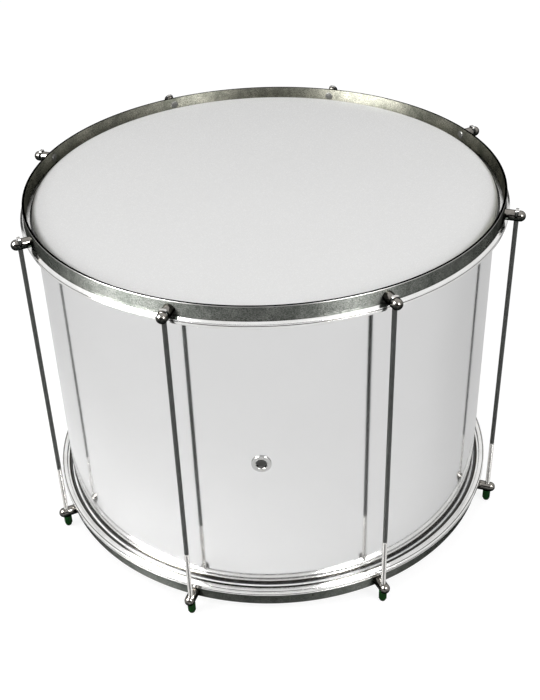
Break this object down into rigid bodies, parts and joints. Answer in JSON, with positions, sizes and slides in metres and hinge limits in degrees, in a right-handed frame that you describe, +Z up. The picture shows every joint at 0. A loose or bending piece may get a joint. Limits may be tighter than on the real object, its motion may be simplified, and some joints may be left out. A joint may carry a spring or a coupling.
{
  "type": "surdo drum",
  "caption": "Low drum with an aluminium shell, two film heads on flesh hoops, flat steel rims with riveted studs, slotted tension rods and domed green nuts it stands on.",
  "frame": {"origin": "on the drum's axis, at the level of the nuts' feet", "axes": "+Z up along the drum's axis, from the resonant head to the batter head; the vent in the shell faces -Y, five degrees towards -X"},
  "size_m": [0.589, 0.589, 0.4412],
  "materials": {
    "shell": "smooth, lightly polished",
    "film": "pale grey film with a soft sheen",
    "hoop": "polished, with fine turned lines",
    "rim": "dull, dark and mottled",
    "stud": "polished",
    "rod": "dark satin shank, bright thread",
    "nut": "dark green gloss",
    "eyelet": "polished"
  },
  "bodies": {
    "drum": {"shell": "shell", "vent_grommet": "eyelet", "batter_skin": "film", "batter_flesh_hoop": "hoop", "resonant_skin": "film", "resonant_flesh_hoop": "hoop", "resonant_rim": "rim", "resonant_stud_1": "stud", "resonant_stud_2": "stud", "resonant_stud_3": "stud", "resonant_stud_4": "stud", "resonant_stud_5": "stud", "resonant_stud_6": "stud", "resonant_stud_7": "stud", "resonant_stud_8": "stud"},
    "batter_rim_assembly": {"batter_rim": "rim", "batter_stud_1": "stud", "batter_stud_2": "stud", "batter_stud_3": "stud", "batter_stud_4": "stud", "batter_stud_5": "stud", "batter_stud_6": "stud", "batter_stud_7": "stud", "batter_stud_8": "stud", "tension_rod_1": "rod", "tension_rod_2": "rod", "tension_rod_3": "rod", "tension_rod_4": "rod", "tension_rod_5": "rod", "tension_rod_6": "rod", "tension_rod_7": "rod", "tension_rod_8": "rod"},
    "tension_nut_1": {"tension_nut_1": "nut"},
    "tension_nut_2": {"tension_nut_2": "nut"},
    "tension_nut_3": {"tension_nut_3": "nut"},
    "tension_nut_4": {"tension_nut_4": "nut"},
    "tension_nut_5": {"tension_nut_5": "nut"},
    "tension_nut_6": {"tension_nut_6": "nut"},
    "tension_nut_7": {"tension_nut_7": "nut"},
    "tension_nut_8": {"tension_nut_8": "nut"}
  },
  "joints": [
    {"name": "tension_travel", "type": "slide", "parent": "drum", "child": "batter_rim_assembly", "axis": [0, 0, 1], "range_m": [0, 0.006]},
    {"name": "nut_turn_1", "type": "hinge", "parent": "drum", "child": "tension_nut_1", "pos_m": [0.28114, 0.11645, 0.00875], "axis": [0, 0, -1], "range_deg": [0, 1702]},
    {"name": "nut_turn_2", "type": "hinge", "parent": "drum", "child": "tension_nut_2", "pos_m": [0.11645, 0.28114, 0.00875], "axis": [0, 0, -1], "range_deg": [0, 1702]},
    {"name": "nut_turn_3", "type": "hinge", "parent": "drum", "child": "tension_nut_3", "pos_m": [-0.11645, 0.28114, 0.00875], "axis": [0, 0, -1], "range_deg": [0, 1702]},
    {"name": "nut_turn_4", "type": "hinge", "parent": "drum", "child": "tension_nut_4", "pos_m": [-0.28114, 0.11645, 0.00875], "axis": [0, 0, -1], "range_deg": [0, 1702]},
    {"name": "nut_turn_5", "type": "hinge", "parent": "drum", "child": "tension_nut_5", "pos_m": [-0.28114, -0.11645, 0.00875], "axis": [0, 0, -1], "range_deg": [0, 1702]},
    {"name": "nut_turn_6", "type": "hinge", "parent": "drum", "child": "tension_nut_6", "pos_m": [-0.11645, -0.28114, 0.00875], "axis": [0, 0, -1], "range_deg": [0, 1702]},
    {"name": "nut_turn_7", "type": "hinge", "parent": "drum", "child": "tension_nut_7", "pos_m": [0.11645, -0.28114, 0.00875], "axis": [0, 0, -1], "range_deg": [0, 1702]},
    {"name": "nut_turn_8", "type": "hinge", "parent": "drum", "child": "tension_nut_8", "pos_m": [0.28114, -0.11645, 0.00875], "axis": [0, 0, -1], "range_deg": [0, 1702]}
  ],
  "couplings": [
    {"joint": "nut_turn_1", "follows": "tension_travel", "rad_per_m": 4947.4},
    {"joint": "nut_turn_2", "follows": "tension_travel", "rad_per_m": 4947.4},
    {"joint": "nut_turn_3", "follows": "tension_travel", "rad_per_m": 4947.4},
    {"joint": "nut_turn_4", "follows": "tension_travel", "rad_per_m": 4947.4},
    {"joint": "nut_turn_5", "follows": "tension_travel", "rad_per_m": 4947.4},
    {"joint": "nut_turn_6", "follows": "tension_travel", "rad_per_m": 4947.4},
    {"joint": "nut_turn_7", "follows": "tension_travel", "rad_per_m": 4947.4},
    {"joint": "nut_turn_8", "follows": "tension_travel", "rad_per_m": 4947.4}
  ]
}
